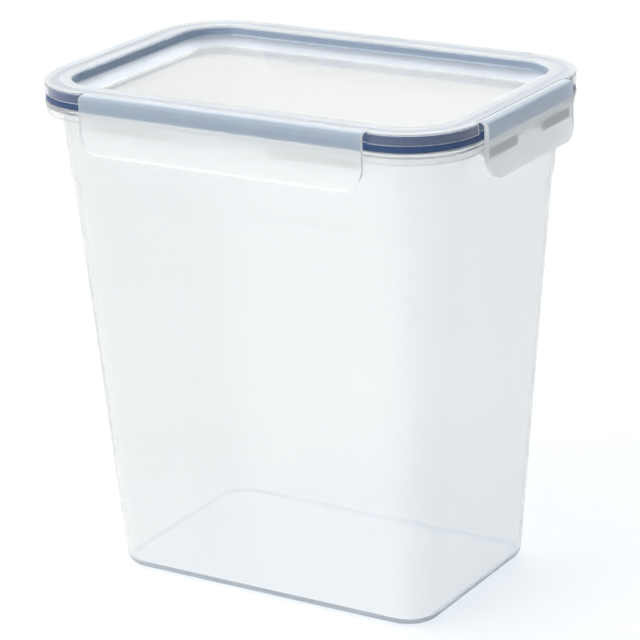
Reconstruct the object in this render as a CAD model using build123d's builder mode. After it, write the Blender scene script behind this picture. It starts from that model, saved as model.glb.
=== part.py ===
"""Tall clear food box with a recessed snap lid, a soft seal and four hinged latches.

Millimetres, +Z up.  The origin is the centre of the base, on the surface that the box stands on.
The long sides face -Y (front) and +Y (back), the short sides face -X (left) and +X (right).
"""
import os

from build123d import *

# ---------------------------------------------------------------- driving dimensions
HEIGHT = 220.8  # top of the lid's ring above the base
LID_LENGTH = 203.8  # lid outline at the corners, along X
LID_WIDTH = 138.7  # lid outline at the corners, along Y
LID_CORNER = 30.5  # plan radius of the lid outline

BASE_LENGTH = 155.9  # box at the floor
BASE_WIDTH = 98.9
BASE_CORNER = 14.5
BASE_ROUND = 5.5  # rounding where the walls meet the floor

STEP_HEIGHT = 176.0  # stacking step in the walls
STEP_LENGTH = 185.6
STEP_WIDTH = 121.4
STEP_CORNER = 25.0
STEP_OUT = 0.7  # how far the walls step out, each side
STEP_RISE = 1.2

MOUTH_LENGTH = 193.0  # outside of the wall at its top edge
MOUTH_WIDTH = 128.0
MOUTH_CORNER = 26.5
MOUTH_HEIGHT = HEIGHT - 6.0

WALL = 1.5
FLOOR = 1.8

# ---------------------------------------------------------------- rim of the box
FLANGE_TOP = HEIGHT - 8.0
FLANGE_THICK = 2.1
LIP_BOTTOM = HEIGHT - 13.1
LIP_INSET = 0.5  # the hanging lip stands back this far from the flange edge
LIP_THICK = 1.3

# ---------------------------------------------------------------- lid
RING_THICK = 1.0
SKIRT_THICK = 1.1
SKIRT_BOTTOM = HEIGHT - 5.0
RECESS_INSET = 11.8  # inner edge of the ring, measured in from the lid outline
RECESS_SIDE = 4.3  # height of the upright part of the recess wall
PANEL_INSET = 21.0  # edge of the flat panel
PANEL_DEPTH = 7.0  # panel below the ring
LID_WALL = 1.3
PANEL_ROUND = 3.0

# ---------------------------------------------------------------- seal
SEAL_GAP = 0.1  # free space between the seal and the plastic
SEAL_BEAD_INSET = 0.35  # the bead that shows between skirt and flange
SEAL_BEAD_WIDTH = 3.6
SEAL_LEG_BOTTOM = HEIGHT - 7.8
SEAL_LEG_INSET = 7.8  # leg that wipes the inside of the mouth

# ---------------------------------------------------------------- latches
NOTCH_DEPTH = 1.4  # the ring and its skirt are set back here to take each latch
NOTCH_END_GAP = 0.8
HINGE_DROP = 0.25  # hinge axis below the top of the ring
HINGE_IN = 0.3  # hinge axis inside the lid outline
FILM_THICK = 0.45
LATCH_CORNER = 9.0
RIDGE_HEIGHT = 2.4  # the hook, below the lip
RIDGE_DEPTH = 2.65
RIDGE_GAP = 0.3  # free height under the lip
PAD_HEIGHT = 2.0  # the shallow pad above the hook, in front of the lip
PAD_DEPTH = 0.5
RIDGE_END = 0.9  # rounding of the upper corners of hook and pad

LONG_LATCH = {"half": 67.4, "ridge": (24.5, 65.5)}  # front and back: half length, ridge from and to
SHORT_LATCH = {"half": 36.9, "ridge": (11.0, 35.0)}  # left and right

# Section of a latch: (outward from the lid outline, below the top of the ring), clockwise from the hinge.
LATCH_SECTION = [
    (-0.30, 0.25),
    (1.30, 0.40),
    (2.30, 0.75),
    (2.95, 1.50),
    (3.20, 2.60),
    (3.25, 15.8),
    (4.65, 23.8),
    (4.30, 24.5),
    (3.00, 24.5),
    (2.60, 23.8),
    (1.15, 16.8),
    (1.15, 2.30),
    (0.75, 1.35),
    (-0.30, 0.70),
]
LATCH_INNER_FACE = 1.15


# ---------------------------------------------------------------- outlines
def rounded(length, width, corner):
    """A rounded rectangle about the origin."""
    with BuildSketch() as outline:
        RectangleRounded(length, width, corner)
    return outline.sketch


def ring_line(inset):
    """The lid outline moved in by inset, with no notches."""
    return rounded(LID_LENGTH - 2 * inset, LID_WIDTH - 2 * inset, LID_CORNER - inset)


def notched_line(inset):
    """The lid outline moved in by inset, set back where the four latches hang."""
    long_notch = 2 * (LONG_LATCH["half"] + NOTCH_END_GAP + inset)
    short_notch = 2 * (SHORT_LATCH["half"] + NOTCH_END_GAP + inset)
    depth = 2 * (NOTCH_DEPTH + inset)
    with BuildSketch() as outline:
        add(ring_line(inset))
        with Locations((0, -LID_WIDTH / 2), (0, LID_WIDTH / 2)):
            Rectangle(long_notch, depth, mode=Mode.SUBTRACT)
        with Locations((-LID_LENGTH / 2, 0), (LID_LENGTH / 2, 0)):
            Rectangle(depth, short_notch, mode=Mode.SUBTRACT)
    return outline.sketch


def band(outer, inner, bottom, top):
    """Add an upright ring between two outlines, from bottom to top, or a block if inner is None."""
    with BuildSketch(Plane.XY.offset(bottom)) as section:
        add(outer)
        if inner is not None:
            add(inner, mode=Mode.SUBTRACT)
    extrude(section.sketch, amount=top - bottom)


def taper(lower, low_z, upper, high_z):
    """Add a straight-sided solid between two outlines at two heights."""
    with BuildSketch(Plane.XY.offset(low_z)) as bottom:
        add(lower)
    with BuildSketch(Plane.XY.offset(high_z)) as top:
        add(upper)
    loft([bottom.sketch, top.sketch], ruled=True)


def wall_line(z, inset=0.0):
    """Outline of the box's wall at height z, moved in by inset."""
    if z <= STEP_HEIGHT:
        low = (0.0, BASE_LENGTH, BASE_WIDTH, BASE_CORNER)
        high = (STEP_HEIGHT, STEP_LENGTH, STEP_WIDTH, STEP_CORNER)
    else:
        out = 2 * STEP_OUT
        low = (STEP_HEIGHT + STEP_RISE, STEP_LENGTH + out, STEP_WIDTH + out, STEP_CORNER + STEP_OUT)
        high = (MOUTH_HEIGHT, MOUTH_LENGTH, MOUTH_WIDTH, MOUTH_CORNER)
    share = (z - low[0]) / (high[0] - low[0])
    length, width, corner = (a + share * (b - a) for a, b in zip(low[1:], high[1:]))
    return rounded(length - 2 * inset, width - 2 * inset, corner - inset)


# ---------------------------------------------------------------- box
step_top = STEP_HEIGHT + STEP_RISE

with BuildPart() as shell:
    taper(wall_line(0), 0, wall_line(STEP_HEIGHT), STEP_HEIGHT)
    fillet(shell.faces().sort_by(Axis.Z)[0].edges(), BASE_ROUND)
    taper(wall_line(STEP_HEIGHT), STEP_HEIGHT, wall_line(step_top), step_top)
    taper(wall_line(step_top), step_top, wall_line(MOUTH_HEIGHT), MOUTH_HEIGHT)

with BuildPart() as hollow:
    taper(wall_line(FLOOR, WALL), FLOOR, wall_line(STEP_HEIGHT, WALL), STEP_HEIGHT)
    fillet(hollow.faces().sort_by(Axis.Z)[0].edges(), BASE_ROUND - WALL)
    taper(wall_line(STEP_HEIGHT, WALL), STEP_HEIGHT, wall_line(step_top, WALL), step_top)
    taper(wall_line(step_top, WALL), step_top, wall_line(MOUTH_HEIGHT, WALL), MOUTH_HEIGHT)

with BuildPart() as container_body:
    flange_bottom = FLANGE_TOP - FLANGE_THICK
    add(shell.part)
    band(ring_line(0), wall_line(FLANGE_TOP, WALL / 2), flange_bottom, FLANGE_TOP)
    band(ring_line(LIP_INSET), ring_line(LIP_INSET + LIP_THICK), LIP_BOTTOM, flange_bottom)
    add(hollow.part, mode=Mode.SUBTRACT)

# ---------------------------------------------------------------- lid
side_bottom = HEIGHT - RECESS_SIDE
panel_top = HEIGHT - PANEL_DEPTH
outer_inset = RECESS_INSET - LID_WALL

with BuildPart() as recess:
    taper(ring_line(PANEL_INSET), panel_top, ring_line(RECESS_INSET), side_bottom)
    fillet(recess.faces().sort_by(Axis.Z)[0].edges(), PANEL_ROUND)
    band(ring_line(RECESS_INSET), None, side_bottom, HEIGHT)

with BuildPart() as lid:
    band(notched_line(0), ring_line(outer_inset + LID_WALL / 2), HEIGHT - RING_THICK, HEIGHT)
    band(notched_line(0), notched_line(SKIRT_THICK), SKIRT_BOTTOM, HEIGHT - RING_THICK)
    band(ring_line(outer_inset), None, side_bottom - LID_WALL / 2, HEIGHT)
    taper(
        ring_line(PANEL_INSET - LID_WALL / 2),
        panel_top - LID_WALL,
        ring_line(outer_inset),
        side_bottom - LID_WALL / 2,
    )
    add(recess.part, mode=Mode.SUBTRACT)

# ---------------------------------------------------------------- seal
with BuildPart() as lid_seal:
    seal_top = HEIGHT - RING_THICK - SEAL_GAP / 2
    block_bottom = MOUTH_HEIGHT + SEAL_GAP
    bead_bottom = FLANGE_TOP + SEAL_GAP / 2
    bead_top = SKIRT_BOTTOM - SEAL_GAP / 2
    inner = ring_line(outer_inset - SEAL_GAP)
    band(notched_line(SKIRT_THICK + SEAL_GAP), inner, block_bottom, seal_top)
    bead_inner = ring_line(SEAL_BEAD_INSET + SEAL_BEAD_WIDTH)
    band(ring_line(SEAL_BEAD_INSET), bead_inner, bead_bottom, bead_top)
    band(ring_line(SEAL_LEG_INSET), inner, SEAL_LEG_BOTTOM, block_bottom)


# ---------------------------------------------------------------- latches
# Each side is drawn on a plane whose X runs outward and whose Y runs up, from the top edge of the
# lid outline.  The plane's normal runs along the side, and every solid is extruded both ways from it.
SIDES = {
    "front": (Plane((0, -LID_WIDTH / 2, HEIGHT), x_dir=(0, -1, 0), z_dir=(-1, 0, 0)), LONG_LATCH),
    "back": (Plane((0, LID_WIDTH / 2, HEIGHT), x_dir=(0, 1, 0), z_dir=(1, 0, 0)), LONG_LATCH),
    "left": (Plane((-LID_LENGTH / 2, 0, HEIGHT), x_dir=(-1, 0, 0), z_dir=(0, 1, 0)), SHORT_LATCH),
    "right": (Plane((LID_LENGTH / 2, 0, HEIGHT), x_dir=(1, 0, 0), z_dir=(0, -1, 0)), SHORT_LATCH),
}


def latch_flap(plane, half):
    """The flap of a latch, with its two lower corners rounded."""
    with BuildPart() as flap:
        with BuildSketch(plane):
            with BuildLine():
                Polyline([(out, -down) for out, down in LATCH_SECTION], close=True)
            make_face()
        extrude(amount=half, both=True)
        across = Axis(plane.origin, plane.x_dir)
        corners = flap.edges().filter_by(across, tolerance=1.0).group_by(Axis.Z)[0]
        fillet(corners, LATCH_CORNER)
    return flap.part


def hinge_film(plane, half):
    """The thin film from the edge of the ring to the top of the flap."""
    with BuildPart() as film:
        with BuildSketch(plane):
            with Locations((-HINGE_IN, -HINGE_DROP)):
                Rectangle(NOTCH_DEPTH - HINGE_IN, FILM_THICK, align=(Align.MAX, Align.MAX))
        extrude(amount=half, both=True)
    return film.part


def snap_ridges(plane, ridge):
    """The two ridges inside a flap: a hook that catches under the lip, with a shallow pad above it."""
    top = LIP_BOTTOM - RIDGE_GAP - HEIGHT
    face = LATCH_INNER_FACE
    section = [
        (face, top + PAD_HEIGHT),
        (face - PAD_DEPTH, top + PAD_HEIGHT),
        (face - PAD_DEPTH, top),
        (face - RIDGE_DEPTH, top),
        (face - RIDGE_DEPTH, top - RIDGE_HEIGHT / 3),
        (face, top - RIDGE_HEIGHT),
    ]
    near, far = ridge
    with BuildPart() as ridges:
        for start in (near, -far):
            with BuildSketch(plane.offset(start)):
                with BuildLine():
                    Polyline(section, close=True)
                make_face()
            extrude(amount=far - near)
        outward = Axis(plane.origin, plane.x_dir)
        fillet(ridges.edges().filter_by(outward), RIDGE_END)
    return ridges.part


latches = {}
films = {}
ridge_sets = {}
for side, (plane, sizes) in SIDES.items():
    latches[side] = latch_flap(plane, sizes["half"])
    films[side] = hinge_film(plane, sizes["half"])
    ridge_sets[side] = snap_ridges(plane, sizes["ridge"])

# ---------------------------------------------------------------- files
container_body.part.label = "container_body"
lid.part.label = "lid"
lid_seal.part.label = "lid_seal"

os.makedirs("parts", exist_ok=True)
export_step(container_body.part, "parts/container_body.step")
export_step(lid.part, "parts/lid.step")
export_step(lid_seal.part, "parts/lid_seal.step")
for side in SIDES:
    named = {"latch": latches[side], "hinge_film": films[side], "latch_ridges": ridge_sets[side]}
    for kind, piece in named.items():
        piece.label = f"{side}_{kind}"
        export_step(piece, f"parts/{side}_{kind}.step")
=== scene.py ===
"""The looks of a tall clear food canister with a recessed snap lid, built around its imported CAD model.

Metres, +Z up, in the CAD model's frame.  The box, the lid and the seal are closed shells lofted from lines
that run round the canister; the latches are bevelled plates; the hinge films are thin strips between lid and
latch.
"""
import math

import bmesh
import bpy
import numpy as np
from mathutils import Matrix, Vector


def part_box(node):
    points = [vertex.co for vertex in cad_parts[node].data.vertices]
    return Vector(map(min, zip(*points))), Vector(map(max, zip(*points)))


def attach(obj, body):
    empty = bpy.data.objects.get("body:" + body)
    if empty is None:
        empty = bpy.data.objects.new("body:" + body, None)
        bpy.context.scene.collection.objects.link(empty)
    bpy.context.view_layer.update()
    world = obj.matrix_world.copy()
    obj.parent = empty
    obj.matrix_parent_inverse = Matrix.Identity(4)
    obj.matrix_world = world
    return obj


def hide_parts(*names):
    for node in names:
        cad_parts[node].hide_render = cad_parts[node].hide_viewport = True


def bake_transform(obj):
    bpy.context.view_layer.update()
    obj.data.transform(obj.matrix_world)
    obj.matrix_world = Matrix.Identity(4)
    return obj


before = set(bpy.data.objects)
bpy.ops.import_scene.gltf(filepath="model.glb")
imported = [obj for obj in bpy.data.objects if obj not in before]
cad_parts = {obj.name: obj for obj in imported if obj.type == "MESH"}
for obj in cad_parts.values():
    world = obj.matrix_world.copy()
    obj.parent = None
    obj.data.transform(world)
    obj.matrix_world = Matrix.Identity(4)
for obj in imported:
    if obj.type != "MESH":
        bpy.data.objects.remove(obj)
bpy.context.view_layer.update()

MM = 0.001

# ---------------------------------------------------------------- sizes, from the frame and in millimetres
lid_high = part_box("lid")[1]
body_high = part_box("container_body")[1]
HEIGHT = lid_high.z / MM
HALF_X = lid_high.x / MM
HALF_Y = lid_high.y / MM
LID_CORNER = 30.5

BASE = (77.95, 49.45, 14.5)  # half length, half width and corner radius of the box at the floor
STEP = (92.8, 60.7, 25.0)  # below the stacking step
STEP_OUT = 0.7
STEP_HEIGHT = 176.0
STEP_RISE = 1.2
MOUTH = (96.5, 64.0, 26.5)
MOUTH_HEIGHT = body_high.z / MM
WALL = 1.5
FLOOR = 1.8
BASE_ROUND = 5.5
FLOOR_CAPS = (13.5, 14.0)  # the floor's single face starts this far in, inside the box and underneath
SLANTED = 0.2  # a face whose normal rises by more than this is part of the floor or its rounding
FLAT_RISE = 0.3  # the flat of the floor, and then its rounding, end at these heights
FOOT_RISE = {"inside": 1.3, "outside": 1.6}

FLANGE_TOP = HEIGHT - 8.0
FLANGE_BOTTOM = FLANGE_TOP - 2.1
LIP_BOTTOM = HEIGHT - 13.1
LIP_OUTER, LIP_INNER = 0.5, 1.8  # set in from the lid outline

RING_THICK = 1.0
SKIRT_THICK = 1.1
SKIRT_BOTTOM = HEIGHT - 5.0
RECESS_INSET = 11.8
SIDE_BOTTOM = HEIGHT - 4.3  # the upright part of the recess wall ends and its slope begins
WALL_INSET = RECESS_INSET - 2.0  # the recess wall lies inside this, and the skirt outside
PANEL_INSET = 21.0
PANEL_TOP = HEIGHT - 7.0
PANEL_EDGE = 0.3  # the panel's plastic ends this far up its rounding, and the ring's this far down its own
RING_EDGE = 0.4
LID_WALL = 1.3
GROOVE = (3.2, 6.6)  # shallow groove round the top of the ring, from and to
GROOVE_DEPTH = 0.2
GROOVE_SIDE = 0.5  # width of the groove's slanted sides
PANEL_CAP = 30.0  # the panel's single face starts here

SEAL_GAP = 0.1  # free space between the seal and the plastic
BEAD_INSET = 0.35  # the bead that shows between skirt and flange
BEAD_WIDTH = 3.6
LEG_INSET = 7.8  # the leg that wipes the inside of the mouth
LEG_BOTTOM = HEIGHT - 7.8

NOTCH_DEPTH = 1.4
NOTCH_GAP = 0.8
NOTCH_RAMP = 0.7

HINGE_HEIGHT = HEIGHT - 0.25  # axis of the living hinges, at the top of the flaps
HINGE_IN = 0.3  # and this far inside the lid outline
FILM_THICK = 0.45
FLAP_BOTTOM = HEIGHT - 24.5
FLAP_CORNER = 9.0
FLAP_PAINTED_SHADE_LINE = HEIGHT - 7.6  # above this the flap is bluer and darker: painted shade, with the seal's colour painted in where it would show through
FLAP_BEVEL = 0.45
BEVEL_ANGLE = 38.0  # edges sharper than this are bevelled
# Rows of points up a flap, below the top of the ring: closer together round its shoulder.
FLAP_DEPTHS = [
    14.5, 11.0, 7.5, 5.0, 4.0, 3.0, 2.6, 2.2, 1.8, 1.5, 1.2, 0.95, 0.75, 0.6, 0.5, 0.42, 0.36, 0.31, 0.25,
]
# Outer and inner faces of a flap: below the top of the ring, and outward from the lid outline.
FLAP_OUTER = [
    (0.25, -0.10), (0.31, 0.75), (0.38, 1.20), (0.52, 1.75), (0.75, 2.25), (1.10, 2.68), (1.50, 2.93),
    (2.00, 3.10), (2.60, 3.18), (14.5, 3.22), (16.5, 3.30), (18.0, 3.52), (24.5, 4.65),
]
FLAP_INNER = [
    (0.25, -0.30), (0.70, -0.30), (1.00, 0.25), (1.35, 0.72), (1.80, 1.00), (2.30, 1.13), (2.80, 1.15),
    (15.8, 1.15), (17.0, 1.22), (18.5, 1.50), (24.5, 2.75),
]

CORNER_STEPS = 20
SIDE_STEPS = 14
RAMP_STEPS = 5
ROUND_STEPS = 5
FLAP_CORNER_STEPS = 12
FLAP_COLUMNS = 13
FILM_COLUMNS = 9

SIDES = ("front", "right", "back", "left")
NORMALS = {"front": (0, -1), "right": (1, 0), "back": (0, 1), "left": (-1, 0)}
FLAP_HALF = {side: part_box(side + "_latch")[1][0 if side in ("front", "back") else 1] / MM for side in SIDES}


# ---------------------------------------------------------------- lines round the canister
def side_shares(side):
    """Places along a straight side, from -1 to 1, and how far each lies in the notch behind the latch."""
    long_side = side in ("front", "back")
    straight = (HALF_X if long_side else HALF_Y) - LID_CORNER
    inside = (FLAP_HALF[side] + NOTCH_GAP) / straight
    outside = min(inside + NOTCH_RAMP / straight, 0.999)
    ramp = np.linspace(outside, inside, RAMP_STEPS + 1)
    middle = np.linspace(inside, -inside, SIDE_STEPS + 1)[1:-1]
    shares = np.concatenate([[1.0], ramp, middle, -ramp[::-1], [-1.0]])[::-1]
    depth = np.clip((outside - np.abs(shares)) / (outside - inside), 0, 1)
    return shares, depth * depth * (3 - 2 * depth)


SHARES = {side: side_shares(side) for side in SIDES}


def line(half_x, half_y, corner, z, notch=0.0):
    """A rounded rectangle round the canister at height z, set back by notch behind each latch."""
    points = []
    for side in SIDES:
        normal = np.array(NORMALS[side], float)
        along = np.array([-normal[1], normal[0]])
        far, half = (half_y, half_x) if side in ("front", "back") else (half_x, half_y)
        for share, depth in zip(*SHARES[side]):
            points.append(normal * (far - notch * depth) + along * share * (half - corner))
        centre = normal * (far - corner) + along * (half - corner)
        for step in range(1, CORNER_STEPS):
            turn = math.pi / 2 * step / CORNER_STEPS
            points.append(centre + corner * (normal * math.cos(turn) + along * math.sin(turn)))
    return np.column_stack([np.array(points), np.full(len(points), z)])


def ring_line(inset, z):
    """The lid outline moved in, with no notches."""
    return line(HALF_X - inset, HALF_Y - inset, LID_CORNER - inset, z)


def rim_line(inset, z):
    """The lid outline moved in, set back behind each latch."""
    return line(HALF_X - inset, HALF_Y - inset, LID_CORNER - inset, z, NOTCH_DEPTH)


def wall_line(z, inset=0.0):
    """The outside of the box's wall at height z, moved in."""
    if z <= STEP_HEIGHT:
        low, low_z, high, high_z = BASE, 0.0, STEP, STEP_HEIGHT
    else:
        low, low_z = tuple(size + STEP_OUT for size in STEP), STEP_HEIGHT + STEP_RISE
        high, high_z = MOUTH, MOUTH_HEIGHT
    share = (z - low_z) / (high_z - low_z)
    return line(*(a + share * (b - a) - inset for a, b in zip(low, high)), z)


def rounded(corners, closed=False):
    """The lines of a section given as (line, rounding), with extra lines to round each corner."""
    count = len(corners)
    lines = []
    for index, (here, radius) in enumerate(corners):
        if radius == 0 or (not closed and index in (0, count - 1)):
            lines.append(here)
            continue
        cuts = []
        for other in (corners[index - 1][0], corners[(index + 1) % count][0]):
            step = other - here
            length = np.linalg.norm(step, axis=1, keepdims=True)
            cuts.append(here + step / length * np.minimum(radius, 0.45 * length))
        for t in np.linspace(0, 1, ROUND_STEPS + 1):
            lines.append(cuts[0] * (1 - t) ** 2 + here * 2 * t * (1 - t) + cuts[1] * t * t)
    return lines


# ---------------------------------------------------------------- mesh helpers
def add_object(name, mesh_builder, materials, body=None):
    """An object from a bmesh, shaded smooth, that rides on a body."""
    mesh = bpy.data.meshes.new(name)
    bmesh.ops.recalc_face_normals(mesh_builder, faces=mesh_builder.faces)
    for face in mesh_builder.faces:
        face.smooth = True
    mesh_builder.to_mesh(mesh)
    mesh_builder.free()
    for material in materials:
        mesh.materials.append(material)
    piece = bpy.data.objects.new(name, mesh)
    bpy.context.scene.collection.objects.link(piece)
    if body:
        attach(piece, body)
    return piece


def weigh_normals(piece):
    """Flat faces keep their own normals, so that only the rounded edges are shaded round."""
    weighted = piece.modifiers.new("even_normals", "WEIGHTED_NORMAL")
    weighted.keep_sharp = False
    weighted.weight = 50


def loft(lines, closed=False):
    """A bmesh through lines of equal count, with flat caps, or joined end to end when closed."""
    shell = bmesh.new()
    rows = [[shell.verts.new(point * MM) for point in row] for row in lines]
    pairs = list(zip(rows, rows[1:]))
    if closed:
        pairs.append((rows[-1], rows[0]))
    else:
        shell.faces.new(rows[0])
        shell.faces.new(rows[-1][::-1])
    for lower, upper in pairs:
        for index in range(len(lower)):
            after = (index + 1) % len(lower)
            shell.faces.new((lower[index], lower[after], upper[after], upper[index]))
    return shell


def place(side, along, out, z):
    """A point from its place along a side, outward from the lid outline, and its height, in millimetres."""
    normal = Vector((*NORMALS[side], 0))
    tangent = Vector((-normal.y, normal.x, 0))
    far = HALF_Y if side in ("front", "back") else HALF_X
    return (normal * (far + out) + tangent * along + Vector((0, 0, z))) * MM


# ---------------------------------------------------------------- materials
POLYPROPYLENE = 1.49  # refractive index
MOTTLE = 45.0  # scale of the noise in a plastic's roughness
WAVES, WAVE_HEIGHT = 14.0, 0.00005  # scale and height in metres of the slow waves in its surface
ABSORBED = (0.45, 0.58, 0.66)
BLUE_DARK, BLUE_LIGHT = (0.018, 0.055, 0.165, 1), (0.027, 0.074, 0.205, 1)


def new_material(name):
    """A node material with its Principled shader and object coordinates."""
    material = bpy.data.materials.new(name)
    material.use_nodes = True
    nodes = material.node_tree.nodes
    where = nodes.new("ShaderNodeTexCoord").outputs["Object"]
    return material, material.node_tree, nodes["Principled BSDF"], where


def noise(tree, where, scale, detail=3.0):
    texture = tree.nodes.new("ShaderNodeTexNoise")
    texture.inputs["Scale"].default_value = scale
    texture.inputs["Detail"].default_value = detail
    tree.links.new(where, texture.inputs["Vector"])
    return texture.outputs["Fac"]


def spread(tree, value, low, high):
    """The middle of a noise stretched to run from low to high."""
    mapped = tree.nodes.new("ShaderNodeMapRange")
    mapped.inputs["From Min"].default_value = 0.3
    mapped.inputs["From Max"].default_value = 0.7
    mapped.inputs["To Min"].default_value = low
    mapped.inputs["To Max"].default_value = high
    tree.links.new(value, mapped.inputs["Value"])
    return mapped.outputs["Result"]


def bump(tree, shader, value, distance):
    """Raises the surface by a value, at most by distance in metres."""
    node = tree.nodes.new("ShaderNodeBump")
    node.inputs["Distance"].default_value = distance
    tree.links.new(value, node.inputs["Height"])
    tree.links.new(node.outputs["Normal"], shader.inputs["Normal"])


def let_lamps_through(tree, shader, tint):
    """Lamps shine through the plastic onto what is behind it, tinted a little."""
    clear = tree.nodes.new("ShaderNodeBsdfTransparent")
    clear.inputs["Color"].default_value = (*tint, 1)
    path = tree.nodes.new("ShaderNodeLightPath")
    mix = tree.nodes.new("ShaderNodeMixShader")
    output = next(node for node in tree.nodes if node.type == "OUTPUT_MATERIAL")
    tree.links.new(path.outputs["Is Shadow Ray"], mix.inputs["Fac"])
    tree.links.new(shader.outputs["BSDF"], mix.inputs[1])
    tree.links.new(clear.outputs["BSDF"], mix.inputs[2])
    tree.links.new(mix.outputs["Shader"], output.inputs["Surface"])


def absorb(tree, density, colour):
    """Plastic darkens and tints the light by the length of its way through it."""
    volume = tree.nodes.new("ShaderNodeVolumeAbsorption")
    volume.inputs["Density"].default_value = density
    volume.inputs["Color"].default_value = (*colour, 1)
    output = next(node for node in tree.nodes if node.type == "OUTPUT_MATERIAL")
    tree.links.new(volume.outputs["Volume"], output.inputs["Volume"])


def plastic(name, colour, clear, rough, shade, density=0.0, bend=POLYPROPYLENE):
    """A moulded plastic: how much light it passes, its range of roughness, its tint of lamplight,
    how strongly it absorbs light along its way through, and its refractive index."""
    material, tree, shader, where = new_material(name)
    shader.inputs["IOR"].default_value = bend
    shader.inputs["Transmission Weight"].default_value = clear
    shader.inputs["Base Color"].default_value = (*colour, 1)
    tree.links.new(spread(tree, noise(tree, where, MOTTLE), *rough), shader.inputs["Roughness"])
    bump(tree, shader, noise(tree, where, WAVES, detail=1.0), WAVE_HEIGHT)
    let_lamps_through(tree, shader, shade)
    if density:
        absorb(tree, density, ABSORBED)
    return material


def silicone():
    """Satin blue silicone, faintly mottled."""
    material, tree, shader, where = new_material("blue_silicone")
    mix = tree.nodes.new("ShaderNodeMix")
    mix.data_type = "RGBA"
    mix.inputs["A"].default_value = BLUE_DARK
    mix.inputs["B"].default_value = BLUE_LIGHT
    tree.links.new(noise(tree, where, 300.0), mix.inputs["Factor"])
    tree.links.new(mix.outputs["Result"], shader.inputs["Base Color"])
    tree.links.new(spread(tree, noise(tree, where, 120.0), 0.38, 0.5), shader.inputs["Roughness"])
    bump(tree, shader, noise(tree, where, 1800.0), 0.00001)
    return material


# What a plastic passes of the lamps' light, and its ranges of roughness.
CLEAR_SHADE = (0.93, 0.94, 0.95)
FROSTED_SHADE = (0.88, 0.90, 0.92)
LATCH_SHADE = (0.97, 0.98, 0.99)
GLOSSY = (0.05, 0.10)
SATIN = (0.29, 0.36)

BOX_PLASTIC = plastic("clear_box_plastic", (0.98, 0.98, 0.98), 0.80, (0.03, 0.07), CLEAR_SHADE, density=28.0)
# Painted shade under the box: the floor's flat is in grey plastic, and its rounding in darker blue-grey.
BASE_SHADE_PLASTIC = plastic("clear_base_painted_shade_plastic", (0.86, 0.87, 0.88), 0.78, GLOSSY, CLEAR_SHADE)
FOOT_SHADE_PLASTIC = plastic("clear_foot_painted_shade_plastic", (0.72, 0.77, 0.83), 0.80, GLOSSY, CLEAR_SHADE)
SKIRT_PLASTIC = plastic("clear_skirt_plastic", (0.95, 0.97, 1.0), 0.985, (0.04, 0.08), CLEAR_SHADE)
PANEL_PLASTIC = plastic("clear_panel_plastic", (0.90, 0.90, 0.90), 0.82, GLOSSY, CLEAR_SHADE)
# Satin finish; its darker grey-blue colour is painted shade in the recess.
SLOPE_SHADE_PLASTIC = plastic("satin_slope_painted_shade_plastic", (0.77, 0.82, 0.87), 0.78, SATIN, CLEAR_SHADE)
# Milky; its blue is the seal's colour painted in where the seal shows through the recess wall.
RECESS_PAINTED_SEAL_PLASTIC = plastic("milky_recess_painted_seal_plastic", (0.80, 0.90, 1.0), 0.76, GLOSSY, CLEAR_SHADE)
RING_PLASTIC = plastic("frosted_ring_plastic", (0.90, 0.93, 0.93), 0.55, SATIN, FROSTED_SHADE)
# Painted shade: the groove round the ring is darker and bluer than the ring.
GROOVE_SHADE_PLASTIC = plastic("frosted_groove_painted_shade_plastic", (0.84, 0.89, 0.92), 0.75, SATIN, FROSTED_SHADE)
HINGE_PLASTIC = plastic("frosted_hinge_plastic", (0.84, 0.88, 0.92), 0.65, SATIN, FROSTED_SHADE)
FLAP_PLASTIC = plastic("frosted_latch_plastic", (0.985, 1.0, 1.0), 0.82, SATIN, LATCH_SHADE)
# Painted shade: the top of each flap is bluer and darker, with the seal's colour painted in where it shows
# through.
FLAP_TOP_PAINTED_SHADE_PLASTIC = plastic("frosted_shoulder_painted_shade_plastic", (0.84, 0.93, 1.0), 0.80, SATIN, FROSTED_SHADE)
RIDGE_PLASTIC = plastic("frosted_ridge_plastic", (1.0, 1.0, 1.0), 0.5, SATIN, LATCH_SHADE, bend=1.15)
# Painted highlight: the latches' rims and bevels are whiter and less clear than the flaps, so they look lit.
EDGE_HIGHLIGHT_PLASTIC = plastic("painted_highlight_latch_edge", (0.99, 0.99, 1.0), 0.35, SATIN, FROSTED_SHADE)
SILICONE = silicone()


# ---------------------------------------------------------------- box
def box_plastic(face):
    """The flat of the floor and the rounding beside it have plastics of their own, greyer and darker: painted
    shade under the box.
    """
    part = "inside" if face.normal.z > 0 else "outside"
    rise = face.calc_center_median().z / MM - (FLOOR if part == "inside" else 0)
    if abs(face.normal.z) <= SLANTED or rise >= FOOT_RISE[part]:
        return BOX_PLASTIC
    return BASE_SHADE_PLASTIC if rise < FLAT_RISE else FOOT_SHADE_PLASTIC


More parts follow.
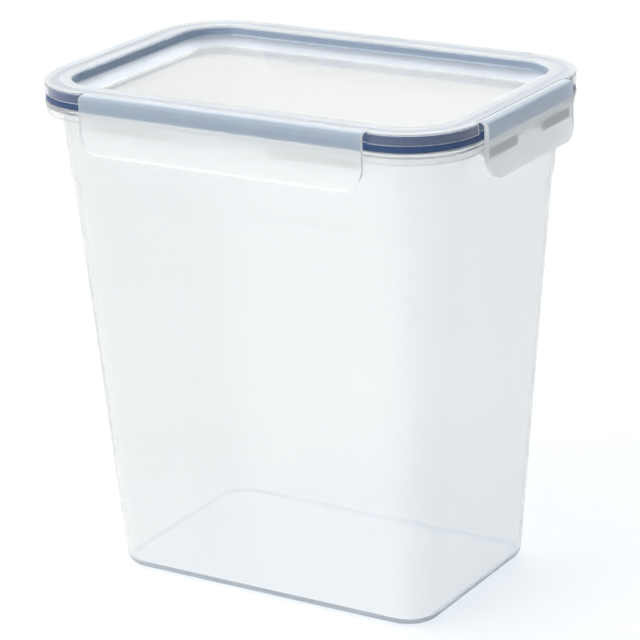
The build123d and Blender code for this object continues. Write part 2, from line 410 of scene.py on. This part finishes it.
def make_box():
    step_top = STEP_HEIGHT + STEP_RISE
    lines = rounded([
        (wall_line(FLOOR, FLOOR_CAPS[0]), 0),
        (wall_line(FLOOR, WALL), BASE_ROUND - WALL),
        (wall_line(STEP_HEIGHT, WALL), 1.0),
        (wall_line(step_top, WALL), 1.0),
        (wall_line(MOUTH_HEIGHT, WALL), 0.6),
        (wall_line(MOUTH_HEIGHT), 0.6),
        (wall_line(FLANGE_TOP), 0.5),
        (ring_line(0, FLANGE_TOP), 0.5),
        (ring_line(0, FLANGE_BOTTOM), 0.5),
        (ring_line(LIP_OUTER, FLANGE_BOTTOM), 0.2),
        (ring_line(LIP_OUTER, LIP_BOTTOM), 0.5),
        (ring_line(LIP_INNER, LIP_BOTTOM), 0.5),
        (ring_line(LIP_INNER, FLANGE_BOTTOM), 0.6),
        (wall_line(FLANGE_BOTTOM), 0.8),
        (wall_line(step_top), 1.0),
        (wall_line(STEP_HEIGHT), 1.0),
        (wall_line(0), BASE_ROUND),
        (wall_line(0, FLOOR_CAPS[1]), 0),
    ])
    shell = loft(lines)
    bmesh.ops.recalc_face_normals(shell, faces=shell.faces)
    plastics = [BOX_PLASTIC, BASE_SHADE_PLASTIC, FOOT_SHADE_PLASTIC]
    for face in shell.faces:
        face.material_index = plastics.index(box_plastic(face))
    box = add_object("box", shell, plastics, "box")
    weigh_normals(box)
    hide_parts("container_body")


# ---------------------------------------------------------------- lid
def inset_of(point):
    """How far a point lies inside the lid outline, in millimetres."""
    beyond_x = max(abs(point.x) / MM - HALF_X + LID_CORNER, 0)
    beyond_y = max(abs(point.y) / MM - HALF_Y + LID_CORNER, 0)
    return LID_CORNER - math.hypot(beyond_x, beyond_y)


def lid_plastic(face):
    """The groove (painted shade), the ring's top, the panel, the slope (painted shade), the recess wall (the
    seal's blue painted in) and the rest, which is the skirt.
    """
    centre = face.calc_center_median()
    height = centre.z / MM
    if abs(height - HEIGHT + GROOVE_DEPTH) < 0.01:
        return GROOVE_SHADE_PLASTIC
    if height > HEIGHT - RING_EDGE:
        return RING_PLASTIC
    if height < PANEL_TOP + PANEL_EDGE:
        return PANEL_PLASTIC
    if height < SIDE_BOTTOM:
        return SLOPE_SHADE_PLASTIC
    return RECESS_PAINTED_SEAL_PLASTIC if inset_of(centre) > WALL_INSET else SKIRT_PLASTIC


def make_lid():
    under = RECESS_INSET - LID_WALL
    lines = rounded([
        (ring_line(PANEL_CAP, PANEL_TOP), 0),
        (ring_line(PANEL_INSET, PANEL_TOP), 3.0),
        (ring_line(RECESS_INSET, SIDE_BOTTOM), 2.0),
        (ring_line(RECESS_INSET, HEIGHT), 0.8),
        (ring_line(GROOVE[1] + GROOVE_SIDE, HEIGHT), 0.2),
        (ring_line(GROOVE[1], HEIGHT - GROOVE_DEPTH), 0.2),
        (ring_line(GROOVE[0], HEIGHT - GROOVE_DEPTH), 0.2),
        (ring_line(GROOVE[0] - GROOVE_SIDE, HEIGHT), 0.2),
        (rim_line(0, HEIGHT), 0.6),
        (rim_line(0, SKIRT_BOTTOM), 0.3),
        (rim_line(SKIRT_THICK, SKIRT_BOTTOM), 0.3),
        (rim_line(SKIRT_THICK, HEIGHT - RING_THICK), 0.3),
        (ring_line(under, HEIGHT - RING_THICK), 0.3),
        (ring_line(under, SIDE_BOTTOM - LID_WALL / 2), 1.6),
        (ring_line(PANEL_INSET - LID_WALL / 2, PANEL_TOP - LID_WALL), 2.6),
        (ring_line(PANEL_CAP, PANEL_TOP - LID_WALL), 0),
    ])
    shell = loft(lines)
    shell.normal_update()
    plastics = [SKIRT_PLASTIC, RING_PLASTIC, PANEL_PLASTIC, SLOPE_SHADE_PLASTIC, GROOVE_SHADE_PLASTIC, RECESS_PAINTED_SEAL_PLASTIC]
    for face in shell.faces:
        face.material_index = plastics.index(lid_plastic(face))
    cover = add_object("lid_cover", shell, plastics, "lid")
    weigh_normals(cover)
    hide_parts("lid")


# ---------------------------------------------------------------- seal
def make_seal():
    top = HEIGHT - RING_THICK - SEAL_GAP / 2
    block = MOUTH_HEIGHT + SEAL_GAP
    bead_top, bead_bottom = SKIRT_BOTTOM - SEAL_GAP / 2, FLANGE_TOP + SEAL_GAP / 2
    bead_inner = BEAD_INSET + BEAD_WIDTH
    inner = RECESS_INSET - LID_WALL - SEAL_GAP
    lines = rounded([
        (rim_line(SKIRT_THICK + SEAL_GAP, top), 0.5),
        (rim_line(SKIRT_THICK + SEAL_GAP, bead_top), 0.2),
        (ring_line(BEAD_INSET, bead_top), 0.5),
        (ring_line(BEAD_INSET, bead_bottom), 0.7),
        (ring_line(bead_inner, bead_bottom), 0.5),
        (ring_line(bead_inner, block), 0.4),
        (ring_line(LEG_INSET, block), 0.3),
        (ring_line(LEG_INSET, LEG_BOTTOM), 0.3),
        (ring_line(inner, LEG_BOTTOM), 0.3),
        (ring_line(inner, top), 0.5),
    ], closed=True)
    seal = add_object("seal_ring", loft(lines, closed=True), [SILICONE], "lid")
    weigh_normals(seal)
    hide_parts("lid_seal")


# ---------------------------------------------------------------- latches
def flap_rows(half):
    """Heights up a flap and the half length at each, with the lower corners rounded."""
    rows = []
    for step in range(FLAP_CORNER_STEPS + 1):
        turn = math.pi / 2 * step / FLAP_CORNER_STEPS
        z = FLAP_BOTTOM + FLAP_CORNER * (1 - math.cos(turn))
        rows.append((z, half - FLAP_CORNER * (1 - math.sin(turn))))
    return rows + [(HEIGHT - depth, half) for depth in FLAP_DEPTHS]


def make_flap(side):
    rows = flap_rows(FLAP_HALF[side])
    shares = np.linspace(-1, 1, FLAP_COLUMNS)
    plate = bmesh.new()
    faces = []
    for section in (FLAP_OUTER, FLAP_INNER):
        depths, outs = zip(*section)
        grid = []
        for z, half in rows:
            out = np.interp(HEIGHT - z, depths, outs)
            grid.append([plate.verts.new(place(side, share * half, out, z)) for share in shares])
        faces.append(grid)
        for lower, upper in zip(grid, grid[1:]):
            in_painted_shade = lower[0].co.z > FLAP_PAINTED_SHADE_LINE * MM
            for index in range(len(shares) - 1):
                face = plate.faces.new((lower[index], lower[index + 1], upper[index + 1], upper[index]))
                # faces on the flap's top take the painted shade plastic
                face.material_index = 2 if in_painted_shade else 0
    edges = []
    for grid in faces:
        left = [row[0] for row in grid]
        right = [row[-1] for row in grid]
        edges.append(grid[0] + right[1:] + grid[-1][::-1][1:] + left[::-1][1:-1])
    for index in range(len(edges[0])):
        after = (index + 1) % len(edges[0])
        rim = plate.faces.new((edges[0][index], edges[0][after], edges[1][after], edges[1][index]))
        rim.material_index = 1
    plastics = [FLAP_PLASTIC, EDGE_HIGHLIGHT_PLASTIC, FLAP_TOP_PAINTED_SHADE_PLASTIC]
    flap = add_object(side + "_flap", plate, plastics, side + "_flap")
    bevel = flap.modifiers.new("soft_edges", "BEVEL")
    bevel.width = FLAP_BEVEL * MM
    bevel.segments = 3
    bevel.limit_method = "ANGLE"
    bevel.angle_limit = math.radians(BEVEL_ANGLE)
    bevel.material = 1
    weigh_normals(flap)
    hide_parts(side + "_latch")


def make_film(side):
    """The living hinge: a thin flat strip between the ring and the flap."""
    columns = np.linspace(-NOTCH_DEPTH, -HINGE_IN, FILM_COLUMNS)
    top, bottom = HINGE_HEIGHT, HINGE_HEIGHT - FILM_THICK
    strip = bmesh.new()
    rows = []
    for along in np.linspace(-FLAP_HALF[side], FLAP_HALF[side], FILM_COLUMNS):
        section = [(out, top) for out in columns] + [(out, bottom) for out in columns[::-1]]
        rows.append([strip.verts.new(place(side, along, out, z)) for out, z in section])
    strip.faces.new(rows[0])
    strip.faces.new(rows[-1][::-1])
    for lower, upper in zip(rows, rows[1:]):
        for index in range(len(lower)):
            after = (index + 1) % len(lower)
            strip.faces.new((lower[index], lower[after], upper[after], upper[index]))
    film = add_object(side + "_film", strip, [HINGE_PLASTIC])
    for polygon in film.data.polygons:
        polygon.use_smooth = False
    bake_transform(film)
    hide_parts(side + "_hinge_film")


def dress_ridges(side):
    """The snap ridges stay the CAD's own, in a frosted plastic."""
    for material_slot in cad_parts[side + "_latch_ridges"].material_slots:
        material_slot.material = RIDGE_PLASTIC


make_box()
make_lid()
make_seal()
for side in SIDES:
    make_flap(side)
    make_film(side)
    dress_ridges(side)


# ---------------------------------------------------------------- studio
def make_camera():
    """A long lens a little above the lid, looking down at the front right corner."""
    azimuth, elevation, roll = (math.radians(angle) for angle in (31.9, 19.08, -1.75))
    distance, aim_height = 1.284, 0.111
    back = Vector((
        math.sin(azimuth) * math.cos(elevation),
        -math.cos(azimuth) * math.cos(elevation),
        math.sin(elevation),
    ))
    right = (-back).cross(Vector((0, 0, 1))).normalized()
    up = right.cross(-back)
    level_right = right * math.cos(roll) + up * math.sin(roll)
    level_up = up * math.cos(roll) - right * math.sin(roll)
    camera = bpy.data.objects.new("camera", bpy.data.cameras.new("camera"))
    camera.data.lens = 167.3
    camera.data.sensor_width = 36.0
    camera.data.shift_x = 0.005
    camera.matrix_world = Matrix.Translation(back * distance + Vector((0, 0, aim_height))) @ Matrix(
        (level_right, level_up, back)
    ).transposed().to_4x4()
    bpy.context.scene.collection.objects.link(camera)
    bpy.context.scene.camera = camera


def make_light(name, place_at, aim_at, size, power, colour):
    light = bpy.data.objects.new(name, bpy.data.lights.new(name, "AREA"))
    light.data.shape = "RECTANGLE"
    light.data.size, light.data.size_y = size
    light.data.energy = power
    light.data.color = colour
    light.location = place_at
    light.rotation_euler = (Vector(aim_at) - Vector(place_at)).to_track_quat("-Z", "Y").to_euler()
    bpy.context.scene.collection.objects.link(light)


def make_floor():
    material, tree, shader, where = new_material("pale_floor")
    shader.inputs["Base Color"].default_value = (0.96, 0.96, 0.96, 1)
    tree.links.new(spread(tree, noise(tree, where, 3.0), 0.6, 0.7), shader.inputs["Roughness"])
    floor = bmesh.new()
    bmesh.ops.create_circle(floor, cap_ends=True, segments=96, radius=8.0)
    ground = add_object("floor", floor, [material])
    ground.location.z = -0.0002


def make_world():
    """A bright room, a little dimmer and bluer on the right than on the left."""
    world = bpy.data.worlds.new("studio")
    world.use_nodes = True
    tree = world.node_tree
    background = tree.nodes["Background"]
    facing = tree.nodes.new("ShaderNodeTexCoord")
    turned = tree.nodes.new("ShaderNodeVectorMath")
    turned.operation = "DOT_PRODUCT"
    turned.inputs[1].default_value = (1.0, 0.0, 0.0)
    tree.links.new(facing.outputs["Generated"], turned.inputs[0])
    ramp = tree.nodes.new("ShaderNodeValToRGB")
    ramp.color_ramp.elements[0].position = 0.4
    ramp.color_ramp.elements[0].color = (1.0, 0.99, 0.97, 1)
    ramp.color_ramp.elements[1].position = 0.75
    ramp.color_ramp.elements[1].color = (0.07, 0.12, 0.17, 1)
    share = tree.nodes.new("ShaderNodeMapRange")
    share.inputs["From Min"].default_value = -1.0
    tree.links.new(turned.outputs["Value"], share.inputs["Value"])
    tree.links.new(share.outputs["Result"], ramp.inputs["Fac"])
    tree.links.new(ramp.outputs["Color"], background.inputs["Color"])
    background.inputs["Strength"].default_value = 0.86
    bpy.context.scene.world = world


make_camera()
make_floor()
make_world()
make_light("key", (-0.9, -1.2, 1.4), (0, 0, 0.1), (1.2, 1.0), 11.5, (1.0, 0.99, 0.97))
make_light("overhead", (0.6, -0.3, 1.5), (0.2, -0.1, 0), (1.2, 1.2), 7.2, (1.0, 1.0, 1.0))
make_light("back_fill", (-0.8, 1.4, 1.5), (-0.2, 0.4, 0), (1.6, 1.2), 12.5, (1.0, 1.0, 1.0))
bpy.context.scene.view_settings.view_transform = "Standard"
